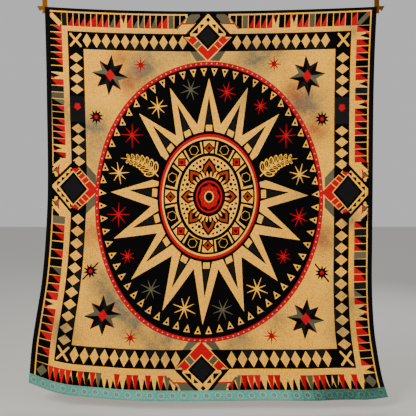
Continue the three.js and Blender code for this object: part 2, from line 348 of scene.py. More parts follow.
# The keys over the hem are black teeth that rise from it, with wedges that hang between them
def tooth(first, last, letter):
    near = LINE_EDGE["hem"]
    far = KEY_SEAM["hem"]
    wide = last - first

    def at(share):
        return first + wide * share

    wedge = {"R": "red", "r": "red", "G": "grey", "g": "grey", "k": "charcoal", "K": "black"}.get(letter)
    if wedge:
        edge_patch(wedge, "hem", [(first, far), (last, far), (at(0.60), near), (at(0.36), near)])
    peak = near + (far - near) * chance.uniform(0.5, 0.9)
    for foot, end, tip in ((0.54, 1.16, 0.90), (-0.16, 0.38, 0.0)):
        edge_patch("black", "hem", [(at(foot), near), (at(end), near), (at(tip), peak)])


def key_border():
    for (side, half), chart in KEY_CHARTS.items():
        corner = KEY_SEAM["side"] if side in ("top", "hem") else KEY_SEAM["top"]
        far_end = WIDE - KEY_SEAM["side"] if side in ("top", "hem") else LONG - KEY_SEAM["hem"]
        middle, reach = BLOCKS[side]["at"], BLOCKS[side]["keys"]
        first = corner if half == 0 else middle + reach
        last = middle - reach if half == 0 else far_end
        pitch = (last - first) / len(chart)
        for k, letter in enumerate(chart):
            start = first + k * pitch
            if side == "hem":
                tooth(start, start + pitch, letter)
            else:
                key(side, start + KEY_GAP / 2, start + pitch - KEY_GAP / 2, letter)


# The corner squares of the key border: a slim bar across each upper one, a stout one across each lower one
UPPER_BAR = {"head": 0.14, "foot": 0.92, "wide": 0.026}
LOWER_BAR = {"head": 0.25, "foot": 0.75, "wide": 0.042}
CORNER_TIP = 0.024


def key_corners():
    outer, inner = LINE_EDGE["side"], KEY_SEAM["side"]
    for side in ("left", "right"):
        for low in (False, True):
            near = LONG - LINE_EDGE["hem"] if low else LINE_EDGE["top"]
            far = LONG - KEY_SEAM["hem"] if low else KEY_SEAM["top"]
            edge_patch("black", side, [(near, outer), (near, inner), (far, inner), (far, outer)])
            shape = LOWER_BAR if low else UPPER_BAR
            ends = [(near + (far - near) * shape[end], outer + (inner - outer) * shape[end])
                    for end in ("head", "foot")]
            kind = "cream" if side == "left" and not low else "grey"
            bar(kind, by_edge(side, *ends[0]), by_edge(side, *ends[1]), shape["wide"])
            if not low:
                tip = [(near, outer), (near, outer + CORNER_TIP), (near + CORNER_TIP, outer)]
                edge_patch("red", side, tip)


# Runs of diamonds on the black band: side, first and last centre, and how many
DIAMOND_RUNS = (
    ("top", 0.252, 0.804, 11), ("top", 1.119, 1.638, 10),
    ("hem", 0.252, 0.811, 11), ("hem", 1.113, 1.634, 10),
    ("left", 0.275, 0.457, 4), ("left", 0.682, 0.870, 4), ("left", 1.197, 1.886, 11),
    ("right", 0.275, 0.464, 4), ("right", 0.686, 0.873, 4), ("right", 1.208, 1.884, 11),
)
# The diamonds' height as a share of the band, and half their width as a share of their pitch
DIAMOND_FILL = {"top": 0.80, "side": 0.82, "hem": 0.86}
DIAMOND_HALF = 0.44


def diamond_run(side, first, last, count):
    name = edge_name(side)
    low, high = BAND_OUTER[name], BAND_INNER[name]
    middle = (low + high) / 2
    reach = (high - low) / 2 * DIAMOND_FILL[name]
    pitch = (last - first) / (count - 1)
    half = pitch * DIAMOND_HALF
    for k in range(count):
        at = first + k * pitch
        if k < count - 1:
            gap = [(at, high), (at + pitch, high), (at + pitch / 2, middle)]
            edge_patch("charcoal" if k % 3 else "black", side, gap)
        corners = [(at - half, middle), (at, middle - reach), (at + half, middle), (at, middle + reach)]
        edge_patch("cream", side, corners)


# The plain stretch of each side band, with a small red flower of five round petals
PLAIN_START = 0.497
PLAIN_END = 0.646
FLOWER_AT = 0.555
FLOWER_REACH = (0.0115, 0.0105)
FLOWER_PETAL = 0.0105


def plain_stretch(side):
    low, high = BAND_OUTER["side"], BAND_INNER["side"]
    corners = [(PLAIN_START, low), (PLAIN_END, low), (PLAIN_END, high), (PLAIN_START, high)]
    edge_patch("charcoal", side, corners)
    for turn in range(5):
        angle = TAU * turn / 5
        at = FLOWER_AT + FLOWER_REACH[0] * math.cos(angle)
        inset = (low + high) / 2 + FLOWER_REACH[1] * math.sin(angle)
        dot("red", by_edge(side, at, inset), FLOWER_PETAL, 8)


# The cross in each corner of the band, its arms as shares of the corner square
CROSS_ARM = (0.32, 0.33)
CROSS_BAR = 0.013
CROSS_TIP = 0.0066


def corner_cross(centre, wide, long):
    arm = (wide * CROSS_ARM[0], long * CROSS_ARM[1])
    for lean in (-1, 1):
        start = (centre[0] - arm[0], centre[1] - arm[1] * lean)
        end = (centre[0] + arm[0], centre[1] + arm[1] * lean)
        bar("cream", start, end, CROSS_BAR)
        for tip in (start, end):
            dot("cream", tip, CROSS_TIP, 8)


def diamond_band():
    box_patch("black", BAND_OUTER, 0.0)
    box_patch("field", BAND_INNER, 0.0)
    for run in DIAMOND_RUNS:
        diamond_run(*run)
    for side in ("left", "right"):
        plain_stretch(side)
    wide = BAND_INNER["side"] - BAND_OUTER["side"]
    tops = (BAND_OUTER["top"], BAND_INNER["top"])
    feet = (LONG - BAND_INNER["hem"], LONG - BAND_OUTER["hem"])
    for u in (BAND_OUTER["side"], WIDE - BAND_INNER["side"]):
        for high, low in (tops, feet):
            corner_cross((u + wide / 2, (high + low) / 2), wide, low - high)


# A block is drawn with its own x along the edge and y towards the middle of the quilt
def block_place(side, x, y):
    return by_edge(side, BLOCKS[side]["at"] + x, BLOCKS[side]["inset"] + y)


def block_patch(kind, side, points, tone=None):
    patch(kind, [block_place(side, x, y) for x, y in points], tone)


def block_bar(kind, side, start, end, wide):
    bar(kind, block_place(side, *start), block_place(side, *end), wide, tone=0.3)


def mirrored(points, lean):
    return [(lean * x, y) for x, y in points]


def square_on_point(kind, side, half, by, tone=0.0):
    x, y = half[0] + by, half[1] + by
    block_patch(kind, side, [(0, -y), (x, 0), (0, y), (-x, 0)], tone)


# How wide the cream bars across the red half are
CELL_BAR = 0.0042


# A place in the red half of a block: a share of the way from its side corner to its tip, and how deep in it
def red_spot(sizes, lean, share, deep):
    outer, inner = sizes["red"], sizes["core"]
    x = outer[0] * (1 - share) - deep * (outer[0] - inner[0]) / 2
    y = outer[1] * share - deep * (outer[1] - inner[1]) / 2
    return lean * x, y


# What lies beside the blocks of the top and hem, and beside those of the sides: cloth and corners
END_FLANK = (
    ("black", ((0.119, -0.142), (0.119, -0.111), (0.132, -0.077), (0.0, -0.077), (0.0, -0.142))),
    ("grey", ((0.119, -0.111), (0.073, -0.142), (0.055, -0.142), (0.046, -0.114), (0.079, -0.077),
              (0.132, -0.077))),
    ("red", ((0.150, -0.077), (0.152, -0.067), (0.075, -0.070), (0.075, -0.077))),
    ("grey", ((0.121, -0.106), (0.128, -0.106), (0.187, -0.042), (0.178, -0.042))),
    ("red", ((0.121, -0.106), (0.124, -0.106), (0.180, -0.040), (0.176, -0.038))),
    ("cream", ((0.119, -0.142), (0.126, -0.142), (0.128, -0.106), (0.121, -0.106))),
)
SIDE_FLANK = (
    ("black", ((0.165, -0.120), (0.165, -0.080), (0.158, -0.078), (0.122, -0.120))),
    ("black", ((0.0, -0.150), (0.120, -0.150), (0.112, -0.100), (0.092, -0.088), (0.064, -0.080),
               (0.0, -0.070))),
    ("red", ((0.134, -0.080), (0.108, -0.0975), (0.090, -0.095), (0.066, -0.084), (0.096, -0.085))),
    ("grey", ((0.108, -0.0975), (0.087, -0.121), (0.079, -0.090))),
    ("cream", ((0.160, -0.074), (0.153, -0.068), (0.075, -0.134), (0.088, -0.137))),
    ("cream", ((0.079, -0.137), (0.084, -0.106), (0.074, -0.093), (0.058, -0.093), (0.056, -0.109),
               (0.075, -0.114))),
)
END_SAW = (
    ((0.0456, -0.069), (0.0195, -0.069), (0.044, -0.043)),
    ((0.058, -0.055), (0.058, -0.018), (0.095, -0.018)),
    ((0.0, -0.109), (0.014, -0.095), (0.0, -0.081)),
)


# How far the teeth's line lies outside the side blocks' cores, where the first tooth starts and their step
SAW_LINE = 0.0170
SAW_START = 0.003
SAW_STEP = 0.0265


def saw_teeth(side, lean):
    sizes = BLOCKS[side]
    if side in ("top", "hem"):
        stretch = sizes["saw"][1] / BLOCKS["top"]["saw"][1]
        for corners in END_SAW:
            block_patch("black", side, mirrored([(x, y * stretch) for x, y in corners], lean), 0.0)
        return
    line = sum(sizes["core"]) / 2 + SAW_LINE
    for k in range(4):
        near = SAW_START + SAW_STEP * k
        far = near + SAW_STEP
        corners = ((far, -max(line - far, 0.0)), (near, near - line), (far, near - line))
        block_patch("black", side, mirrored(corners, lean), 0.0)


# One half of a block's ground: cream, the pieces beside the block, a grey wing in the field and a black line
def block_ground(side, lean, ends):
    sizes = BLOCKS[side]
    red, saw = sizes["red"], sizes["saw"]
    band = BAND_OUTER[edge_name(side)] - sizes["inset"]
    wing = BAND_INNER[edge_name(side)] - sizes["inset"]
    slope = ((0.123, -0.104), (0.186, -0.040)) if ends else ((0.165, -0.150),)
    ground = ((0.0, -0.150), (slope[0][0], -0.150), *slope, (slope[-1][0], band), (0.0, band))
    block_patch("cream", side, mirrored(ground, lean), 0.0)
    for kind, points in END_FLANK if ends else SIDE_FLANK:
        block_patch(kind, side, mirrored(points, lean), 0.0)
    if ends:
        far = ((0.103, wing), (0.061, wing), (0.008, wing + 0.052), (0.068, wing + 0.055))
    else:
        far = ((0.140, wing), (0.077, wing), (0.015, wing + 0.056), (0.083, wing + 0.056))
    block_patch("grey", side, mirrored(far, lean))
    shade = ((0.0, -saw[1] - 0.020), (saw[0] + 0.022, 0.0), (red[0] + 0.008, 0.012), (0.0, 0.0))
    block_patch("black", side, mirrored(shade, lean), 0.0)


# The red half of a block on one side of its middle, with a cream line round it and cream bars across it
def red_half(side, lean, ends):
    sizes = BLOCKS[side]
    core, red = sizes["core"], sizes["red"]
    if ends:
        line = ((0.0, red[1] + 0.009), (red[0] + 0.004, 0.003), (0.0, 0.0))
        arm = ((0.0, red[1]), (red[0], 0.003), (red[0] * 0.80, 0.014), (0.098, -0.001), (core[0], -0.003),
               (0.0, 0.0))
    else:
        line = ((0.0, red[1] + 0.008), (0.121, 0.031), (0.0, 0.0))
        arm = ((0.0, red[1]), (0.117, 0.031), (0.110, -0.010), (core[0], -0.003), (0.0, 0.0))
    block_patch("cream", side, mirrored(line, lean), 0.3)
    block_patch("red", side, mirrored(arm, lean), 0.1)
    cells = (0.36, 0.53) if ends else (0.27, 0.36, 0.50, 0.65)
    if side != "top" or lean < 0:
        corners = ((cells[0], 0), (cells[1], 0), (cells[1], 1), (cells[0], 1))
        cell = [red_spot(sizes, lean, share, deep) for share, deep in corners]
        block_patch("grey" if ends else "charcoal", side, cell)
    for share in cells:
        start, end = (red_spot(sizes, lean, share, deep) for deep in (0, 1))
        block_bar("cream", side, start, end, CELL_BAR)


def block(side):
    ends = side in ("top", "hem")
    core, saw = BLOCKS[side]["core"], BLOCKS[side]["saw"]
    for lean in (-1, 1):
        block_ground(side, lean, ends)
        if ends:
            half = ((0.0, -saw[1]), (0.104, -0.018), (0.100, -0.003), (0.0, 0.0))
        else:
            half = ((0.0, -saw[1]), (saw[0] * 0.88, -saw[1] * 0.12), (0.100, 0.0), (0.0, 0.0))
        block_patch("cream", side, mirrored(half, lean), 0.2)
        saw_teeth(side, lean)
        red_half(side, lean, ends)
    square_on_point("cream", side, core, 0.011, 0.4)
    square_on_point("black", side, core, 0.004)
    square_on_point("charcoal", side, core, -0.014)


# The stars of the field: their places, the turn of the pieced ones and the lean of the bursts' spikes
PIECED_STARS = ((0.382, 0.367, 0.1), (1.536, 0.372, -0.1), (0.385, 1.728, -0.1), (1.533, 1.738, 0.1))
BURSTS = ((0.296, 0.609, 0.0), (1.626, 0.616, 0.0), (0.282, 1.483, 0.042), (1.630, 1.481, -0.042))
RED_STARS = ((0.561, 0.304), (1.339, 0.301), (0.557, 1.846), (1.338, 1.833))
STAR_SIZE = {"wide": 0.110, "long": 0.118}
STAR_WAIST = 0.50
BURST_INNER = 0.023
BURST_OUTER = 0.046
BURST_POINTS = 10
SPIKE_REACH = 0.052


# A classic eight-point star of split diamonds, dark on the cream field, with a red diamond in its middle
def pieced_star(u, v, turn):
    star = {"u": u, "v": v, **STAR_SIZE}
    for k in range(8):
        angle = turn + TAU * k / 8
        tip = on_ellipse(star, 0.9 if k % 2 else 1.0, angle)
        for lean in (-1, 1):
            side = on_ellipse(star, STAR_WAIST, angle + lean * TAU / 16)
            kind = ("black", "charcoal", "black", "grey")[(k + (lean > 0)) % 4]
            patch(kind, [(u, v), side, tip])
        if k % 2:
            bar("red", side, tip, 0.0035, 0.002, tone=-0.3)
    patch("red", [on_ellipse(star, 0.26 if k % 2 else 0.30, TAU * k / 4) for k in range(4)], 0.2)


def burst(centre):
    rim = []
    for k in range(BURST_POINTS):
        rim.append(around(centre, BURST_OUTER, TAU * k / BURST_POINTS))
        rim.append(around(centre, BURST_INNER, TAU * (k + 0.5) / BURST_POINTS))
    patch("black", rim, 0.0)


# How far the arms of a thin star sway, how much they vary, its shorter arms and its stretch down the quilt
ARM_SWAY = 0.06
ARM_VARY = (0.94, 1.05)
SHORT_ARM = 0.86
ARM_STRETCH = 1.05
ARM_END = 0.25


# A thin star of eight arms, each thickest at the middle
def asterisk(kind, centre, reach, thick, turn=0.0, tone=0.0):
    for k in range(8):
        angle = turn + TAU * k / 8 + chance.uniform(-ARM_SWAY, ARM_SWAY)
        arm = reach * (SHORT_ARM if k % 2 else 1.0) * chance.uniform(*ARM_VARY)
        end = (centre[0] + arm * math.sin(angle), centre[1] - arm * ARM_STRETCH * math.cos(angle))
        bar(kind, centre, end, thick, thick * ARM_END, tone)
    dot(kind, centre, thick, 8, tone=tone)


def field_stars():
    for u, v, turn in PIECED_STARS:
        pieced_star(u, v, turn)
    for u, v, lean in BURSTS:
        if lean:
            bar("black", (u - lean, v + SPIKE_REACH), (u + lean, v - SPIKE_REACH), 0.0090, tone=0.0)
        burst((u, v))
        dot("red", (u, v), 0.0125, 10, tone=-0.6)
    for centre in RED_STARS:
        asterisk("red", centre, 0.044, 0.0120, tone=-1.4)


# The medallion. Its sixteen spokes aren't quite even: the turn of each clockwise from the top in degrees, and
# how far the tip of its ray reaches. Two spokes hold a sprig in place of a ray
SPOKE_TURNS = (0.0, 23.2, 45.5, 67.0, 88.0, 109.3, 132.5, 156.7,
               180.5, 204.6, 229.2, 251.4, 273.1, 293.0, 315.0, 336.8)
RAY_REACHES = (1.0, 1.0, 1.0, 1.0, 1.01, 0.988, 0.970, 0.983,
               1.008, 0.982, 0.990, 1.008, 1.002, 1.0, 1.0, 1.0)
SLOTS = len(SPOKE_TURNS)
SPRIG_SLOTS = (3, 13)

# The star after each spoke: its cloth, how far out it lies, how long its arms are and how far it is turned
GAP_STARS = (
    ("red", 0.903, 0.056, 0.25), ("red", 0.930, 0.044, 0.30), ("red", 0.942, 0.064, 0.0),
    ("cream", 0.945, 0.060, 0.30), ("red", 0.926, 0.056, 0.39), ("red", 0.893, 0.044, 0.39),
    ("cream", 0.881, 0.066, 0.39), ("grey", 0.905, 0.064, 0.39), ("cream", 0.896, 0.068, 0.39),
    ("grey", 0.903, 0.064, 0.39), ("red", 0.927, 0.044, 0.30), ("red", 0.926, 0.066, 0.0),
    ("cream", 0.945, 0.060, -0.15), ("red", 0.942, 0.066, 0.0), ("cream", 0.922, 0.058, -0.10),
    ("grey", 0.925, 0.060, -0.30),
)

# The ring of triangles: how many, how far tip and base lie from their place, half the base and the spot in it
TRIANGLES = 64
TRIANGLE_TIP = 0.027
TRIANGLE_BASE = 0.017
TRIANGLE_HALF = 0.0185
TRIANGLE_SPOT = 0.0074
SPOT_SHIFT = 0.004
UPWARD = (math.radians(42), math.radians(86))
UPWARD_LEAN = 0.10


# How far out the triangles lie: nearer to the middle round the lower half
def triangle_share(angle):
    low = max(0.0, -math.cos(angle))
    if low:
        return 0.940 - 0.018 * low - 0.028 * abs(math.sin(2 * angle))
    return 0.930 + 0.010 * abs(math.sin(angle))


# Small cream triangles inside the tape. They point to the middle, but upwards round the upper sides
def triangle_ring():
    for k in range(TRIANGLES):
        angle = TAU * (k + 0.5) / TRIANGLES
        u, v = on_ellipse(OVAL, triangle_share(angle), angle)
        if UPWARD[0] < min(angle, TAU - angle) < UPWARD[1]:
            nu, nv = (UPWARD_LEAN if angle < math.pi else -UPWARD_LEAN), -1.0
        else:
            nu, nv = OVAL["u"] - u, OVAL["v"] - v
        length = math.hypot(nu, nv)
        nu, nv = nu / length, nv / length
        corners = [(u + nu * TRIANGLE_TIP, v + nv * TRIANGLE_TIP)]
        for half in (TRIANGLE_HALF, -TRIANGLE_HALF):
            corners.append((u - nu * TRIANGLE_BASE - nv * half, v - nv * TRIANGLE_BASE + nu * half))
        patch("cream", corners)
        dot("black", (u - nu * SPOT_SHIFT, v - nv * SPOT_SHIFT), TRIANGLE_SPOT, 8)


def spoke(slot):
    return math.radians(SPOKE_TURNS[slot % SLOTS])


# The turn half way between a spoke and the next one
def gap_after(slot):
    start = spoke(slot)
    return start + ((spoke(slot + 1) - start) % TAU) / 2


def ray(slot):
    tip = on_ellipse(TIPS, RAY_REACHES[slot], spoke(slot))
    before, after = gap_after(slot - 1), gap_after(slot)
    patch("cream", [on_ellipse(DISC, 0.99, before), on_ellipse(DISC, 1.155, before), tip,
                    on_ellipse(DISC, 1.155, after), on_ellipse(DISC, 0.99, after)], 0.15)


def ray_hollow(slot):
    angle = spoke(slot)
    for kind, spread, reach in (("black", 6.6, 1.59), ("charcoal", 4.9, 1.49)):
        lean = math.radians(spread)
        foot = [on_ellipse(DISC, 1.0, angle + lean), on_ellipse(DISC, 1.0, angle - lean)]
        patch(kind, [on_ellipse(DISC, reach, angle), *foot], 0.0)
    half = math.radians(3.5)
    patch("cream", [on_ellipse(DISC, 1.035, angle - half), on_ellipse(DISC, 1.130, angle - half * 0.92),
                    on_ellipse(DISC, 1.130, angle + half * 0.92), on_ellipse(DISC, 1.035, angle + half)])


# A leaf's middle, half length, half width and the ends of its midrib, as shares of its size
LEAF = {"middle": 0.52, "long": 0.5, "wide": 0.25, "rib_start": 0.1, "rib_end": 0.72}
LEAF_POINTED = 0.25


# A leaf in outline with a midrib
def leaf(foot, aim, size):
    aside = Vector((-aim.y, aim.x))
    middle = foot + aim * size * LEAF["middle"]
    for kind, grow in (("cream", 1.0), ("black", 0.70)):
        rim = []
        for k in range(12):
            angle = TAU * k / 12
            bend = 1 - LEAF_POINTED * abs(math.cos(angle)) ** 3
            out = aim * math.cos(angle) * size * LEAF["long"]
            rim.append(middle + (out + aside * math.sin(angle) * size * LEAF["wide"] * bend) * grow)
        patch(kind, rim, -0.2)
    start, end = foot + aim * size * LEAF["rib_start"], foot + aim * size * LEAF["rib_end"]
    bar("cream", start, end, 0.0028, 0.002, tone=-0.2)


# A plain leafy sprig, in the two slots that have no ray
def sprig(slot):
    angle = spoke(slot)
    lean = 1 if slot < SLOTS / 2 else -1
    root = Vector(on_ellipse(DISC, 1.06, angle + lean * 0.10))
    tip = Vector(on_ellipse(OVAL, 0.83, angle + lean * 0.03))
    stem = tip - root
    across = Vector((-stem.y, stem.x)).normalized()

    def on_stem(t):
        return root + stem * t + across * (-lean * 0.030 * math.sin(math.pi * t))

    for k in range(8):
        bar("cream", on_stem(k / 8), on_stem((k + 1) / 8), 0.006 - 0.0005 * k, 0.0055 - 0.0005 * k, tone=-0.2)
    for k in range(7):
        t = 0.10 + 0.115 * k
        heading = (on_stem(t + 0.05) - on_stem(t - 0.05)).normalized()
        for turn in (-1, 1):
            out = Vector((-heading.y, heading.x)) * turn
            leaf(on_stem(t), (heading * 0.62 + out * 0.78).normalized(), 0.066 - 0.0055 * k)


# The disc's rings from outside in, and where its segments start and end as shares of its size
DISC_RINGS = (("black", 1.026), ("red", 0.986), ("cream", 0.937), ("black", 0.907), ("cream", 0.874))
SEGMENT_OUTER = 0.884
SEGMENT_INNER = 0.694
DIVIDER_INNER = 0.640
SEGMENT_HALF = math.radians(10.4)
DIVIDER_TURN = math.radians(8.6)
DIVIDER_HALF = 0.023


# A black piece of a ring on the disc, from a share of its size out to the segments' outer end
def ring_piece(inner, middle, half):
    angles = [middle + half * (k - 2) / 2 for k in range(5)]
    rim = [on_ellipse(DISC, SEGMENT_OUTER, angle) for angle in angles]
    rim += [on_ellipse(DISC, inner, angle) for angle in reversed(angles)]
    patch("black", rim, 0.0)


def disc_rings():
    for kind, share in DISC_RINGS:
        ellipse_patch(kind, DISC, share)
    for k in range(8):
        pale, dark = TAU * k / 8, TAU * (k + 0.5) / 8
        ring_piece(SEGMENT_INNER, dark, SEGMENT_HALF)
        for kind, size in (("cream", 0.0283), ("black", 0.0258)):
            dot(kind, on_ellipse(DISC, 0.788, dark), size, 6, dark)
        for edge in (-1, 1):
            ring_piece(DIVIDER_INNER, pale + edge * DIVIDER_TURN, DIVIDER_HALF)
        for kind, size in (("black", 0.033), ("red" if k % 2 else "rust", 0.024), ("black", 0.011)):
            dot(kind, on_ellipse(DISC, 0.765, pale), size, 4, pale)
    for kind, by in (("black", 0.0165), ("cream", -0.0015)):
        ellipse_patch(kind, grown(MIDDLE, by), 1.0)


# Eight petals round a ringed centre on the dotted middle of the disc
PETALS = 8
PETAL = {"foot": 0.44, "waist": 0.65, "tip": 0.965, "half": 0.044}
ROSE = {"u": 0.958, "v": 1.046, "wide": 0.089, "long": 0.104}


def petal(angle):
    foot, waist, tip = (np.array(on_ellipse(MIDDLE, PETAL[at], angle)) for at in ("foot", "waist", "tip"))
    aim = (tip - foot) / np.linalg.norm(tip - foot)
    aside = np.array((-aim[1], aim[0])) * PETAL["half"]
    for kind, size in (("black", 1.0), ("rust", 0.76), ("black", 0.46)):
        middle = waist if size > 0.5 else waist - aim * 0.004
        out, back = (tip - middle) * size, (foot - middle) * size
        spots = ((middle + out * 0.45, 0.72), (middle, 1.0), (middle + back * 0.5, 0.8))
        right = [spot + aside * size * wide for spot, wide in spots]
        left = [spot - aside * size * wide for spot, wide in reversed(spots)]
        patch(kind, [middle + out, *right, middle + back, *left], 0.0)


def rosette():
    for k in range(PETALS):
        angle = TAU * k / PETALS
        petal(angle)
        between = angle + TAU / PETALS / 2
        for off in (-12, -4, 4, 12):
            dot("black", on_ellipse(MIDDLE, 0.920, between + math.radians(off)), 0.0076, 6)
        dot("black", on_ellipse(MIDDLE, 0.79, between), 0.0105, 8)
        for lean in (-1, 1):
            dot("black", on_ellipse(MIDDLE, 0.80, between + lean * 0.15), 0.0068, 6)
            dot("charcoal", on_ellipse(MIDDLE, 0.68, between + lean * 0.05), 0.0066, 6)
    for k in range(32):
        pale, dark = TAU * (k + 0.5) / 32, TAU * k / 32
        bar("cream", on_ellipse(ROSE, 1.08, pale), on_ellipse(ROSE, 1.36, pale), 0.013, 0.006, 0.2)
        bar("black", on_ellipse(ROSE, 1.10, dark), on_ellipse(ROSE, 1.34, dark), 0.005, 0.0065, 0.0)
    for kind, share in (("black", 1.07), ("red", 0.88), ("black", 0.77)):
        ellipse_patch(kind, ROSE, share, 64)
    rim = []
    for k in range(48):
        angle = TAU * k / 48
        rim.append(on_ellipse(ROSE, 0.645 + 0.045 * math.cos(8 * angle), angle))
    patch("red", rim, -0.5)
    for k in range(16):
        dot("rust", on_ellipse(ROSE, 0.53 if k % 2 else 0.43, TAU * k / 16), 0.0042, 6, tone=1.0)
    for kind, share in (("cream", 0.315), ("charcoal", 0.245), ("black", 0.150)):
        ellipse_patch(kind, ROSE, share, 32)


def medallion():
    ellipse_patch("red", OVAL, 1.0, 240)
    ellipse_patch("black", grown(OVAL, -TAPE_WIDE), 1.0, 240)
    triangle_ring()
    rays = [slot for slot in range(SLOTS) if slot not in SPRIG_SLOTS]
    for slot in rays:
        ray(slot)
    for slot in rays:
        ray_hollow(slot)
    for slot in SPRIG_SLOTS:
        sprig(slot)
    for k, (kind, at, reach, turn) in enumerate(GAP_STARS):
        asterisk(kind, on_ellipse(TIPS, at, gap_after(k)), reach, 0.0088, turn)
    disc_rings()
    rosette()


# The pattern isn't quite square to the cloth: at its top left corner it lies a little further left
PATTERN_SHIFT = 0.018
SHIFT_REACH = 0.9


def shifted(u, v):
    share = max(0.0, 1 - u / SHIFT_REACH) * max(0.0, 1 - v / SHIFT_REACH)
    return (u - PATTERN_SHIFT * share, v)


def lay_out_face():
    patch("cream", [(0, 0), (WIDE, 0), (WIDE, LONG), (0, LONG)], 0.0)
    key_border()
    key_corners()
    diamond_band()
    field_stars()
    for side in BLOCKS:
        block(side)
    medallion()
    for k, (kind, tone, points) in enumerate(patches[1:], 1):
        patches[k] = (kind, tone, [shifted(u, v) for u, v in subdivided(points, PATCH_STEP)])


# Cutting the cloth into triangles along its patches

# The points of an outline with none further apart than a step
def subdivided(points, step):
    fine = []
    for (u0, v0), (u1, v1) in zip(points, points[1:] + points[:1]):
        parts = max(1, math.ceil(math.hypot(u1 - u0, v1 - v0) / step))
        fine += [(u0 + (u1 - u0) * k / parts, v0 + (v1 - v0) * k / parts) for k in range(parts)]
    return fine


# Lattice points that keep clear of the patches' edges
def lattice(wide, long, step, outlines, clear):
    taken = set()
    for outline in outlines:
        for u, v in subdivided(outline, clear / 2):
            taken.add((int(u / clear), int(v / clear)))
    spots = []
    rows = int(long / (step * ROW_SHARE))
    for row in range(1, rows):
        v = long * row / rows
        shift = step / 2 if row % 2 else 0
        for k in range(1, int(wide / step)):
            u = k * step + shift
            if u < wide - clear and (int(u / clear), int(v / clear)) not in taken:
                spots.append((u, v))
    return spots


def cut(outlines, spots, wide, long):
    verts = []
    edges = []
    for outline in outlines:
        first = len(verts)
        verts += outline
        edges += [(first + k, first + (k + 1) % len(outline)) for k in range(len(outline))]
    verts += spots
    made = delaunay_2d_cdt([Vector(p) for p in verts], edges, [], 0, 1e-5, False)
    flat, faces = np.array([tuple(p) for p in made[0]]), np.array(made[2])
    slack = 1e-5
    u, v = flat[faces][:, :, 0], flat[faces][:, :, 1]
    flush = (u < slack).all(1) | (u > wide - slack).all(1) | (v < slack).all(1) | (v > long - slack).all(1)
    return flat, faces[~flush]


# Which of the places lie inside an outline
def inside(points, outline):
    rim = np.array(outline)
    low, high = rim.min(axis=0), rim.max(axis=0)
    near = np.flatnonzero(np.all((points >= low) & (points <= high), axis=1))
    u, v = points[near, 0], points[near, 1]
    odd = np.zeros(len(near), bool)
    for (u0, v0), (u1, v1) in zip(rim, np.roll(rim, -1, axis=0)):
        if v0 == v1:
            continue
        crosses = (v0 > v) != (v1 > v)
        odd ^= crosses & (u < (u1 - u0) * (v - v0) / (v1 - v0) + u0)
    return near[odd]


# A closed sheet: its front cut along the patches, its back along its own lines, joined along the outline
def pieced_sheet(name, wide, long, laid, step, back_step, front_at, back_at, kinds, back_kind,
                 back_lines=()):
    outlines = [subdivided(points, SEAM_STEP) for _, _, points in laid]
    flat, faces = cut(outlines, lattice(wide, long, step, outlines, step * FACE_CLEAR), wide, long)
    centres = flat[faces].mean(axis=1)
    kind_of = np.zeros(len(faces), int)
    tone_of = np.zeros(len(faces))
    for kind, tone, points in laid:
        hit = inside(centres, points)
        kind_of[hit] = kinds.index(kind)
        tone_of[hit] = tone
    rim = outlines[0]
    back_outlines = [rim] + [subdivided(line, SEAM_STEP) for line in back_lines]
    back_lattice = lattice(wide, long, back_step, back_outlines, back_step * BACK_CLEAR)
    back_flat, back_faces = cut(back_outlines, back_lattice, wide, long)
    on_seam = np.zeros(len(flat), bool)
    spots = {(round(u * 1e4), round(v * 1e4)) for outline in outlines for u, v in outline}
    for k, (u, v) in enumerate(flat):
        on_seam[k] = (round(u * 1e4), round(v * 1e4)) in spots
    front = front_at(flat[:, 0], flat[:, 1], on_seam)
    points = np.concatenate([front, back_at(back_flat[:, 0], back_flat[:, 1])])
    first_back = len(flat)

    def index_of(places, u, v):
        return int(np.argmin((places[:, 0] - u) ** 2 + (places[:, 1] - v) ** 2))

    front_rim = [index_of(flat, u, v) for u, v in rim]
    back_rim = [first_back + index_of(back_flat, u, v) for u, v in rim]
    rim_faces = []
    for k in range(len(rim)):
        j = (k + 1) % len(rim)
        rim_faces.append((front_rim[k], front_rim[j], back_rim[j], back_rim[k]))
    all_faces = [tuple(f[::-1]) for f in faces] + [tuple(f + first_back) for f in back_faces] + rim_faces
    extra = len(back_faces) + len(rim_faces)
    kind_all = np.concatenate([kind_of, np.full(extra, kinds.index(back_kind))])
    tone_all = np.concatenate([tone_of, np.zeros(extra)])
    all_flat = np.concatenate([flat, back_flat])
    piece = mesh_piece(name, points, all_faces, kinds, kind_all, tone_all, all_flat)
    # Marks the points on sewn lines, where the cream cottons paint a highlight
    seam_highlight = piece.data.attributes.new("seam", "FLOAT", "POINT")
    seam_highlight.data.foreach_set("value", np.concatenate([on_seam, np.zeros(len(back_flat))]).astype(np.float32))
    return piece


# An object from points and faces, with each face's cloth and tone and the flat place of each point
def mesh_piece(name, points, faces, kinds, kind_of=None, tone_of=None, flat=None):
    mesh = bpy.data.meshes.new(name)
    mesh.from_pydata([tuple(map(float, p)) for p in points], [], [tuple(map(int, f)) for f in faces])
    mesh.validate()
    for kind in kinds:
        mesh.materials.append(materials[kind])
    if kind_of is not None:
        mesh.polygons.foreach_set("material_index", np.asarray(kind_of, np.int32))
        tones = mesh.attributes.new("tone", "FLOAT", "FACE")
        tones.data.foreach_set("value", np.asarray(tone_of, np.float32))
    if flat is not None:
        corners = np.zeros(len(mesh.loops), np.int32)
        mesh.loops.foreach_get("vertex_index", corners)
        layer = mesh.uv_layers.new(name="flat")
        layer.data.foreach_set("uv", np.asarray(flat, np.float32)[corners].ravel())
    mesh.polygons.foreach_set("use_smooth", np.ones(len(mesh.polygons), bool))
    mesh.update()
    piece = bpy.data.objects.new(name, mesh)
    bpy.context.collection.objects.link(piece)
    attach(piece, "root")
    return piece


# The relief of the quilted face: soft loft, troughs along the sewn lines and small puckers
PUCKER = 0.0007
SUNK_SEAM = 0.0004


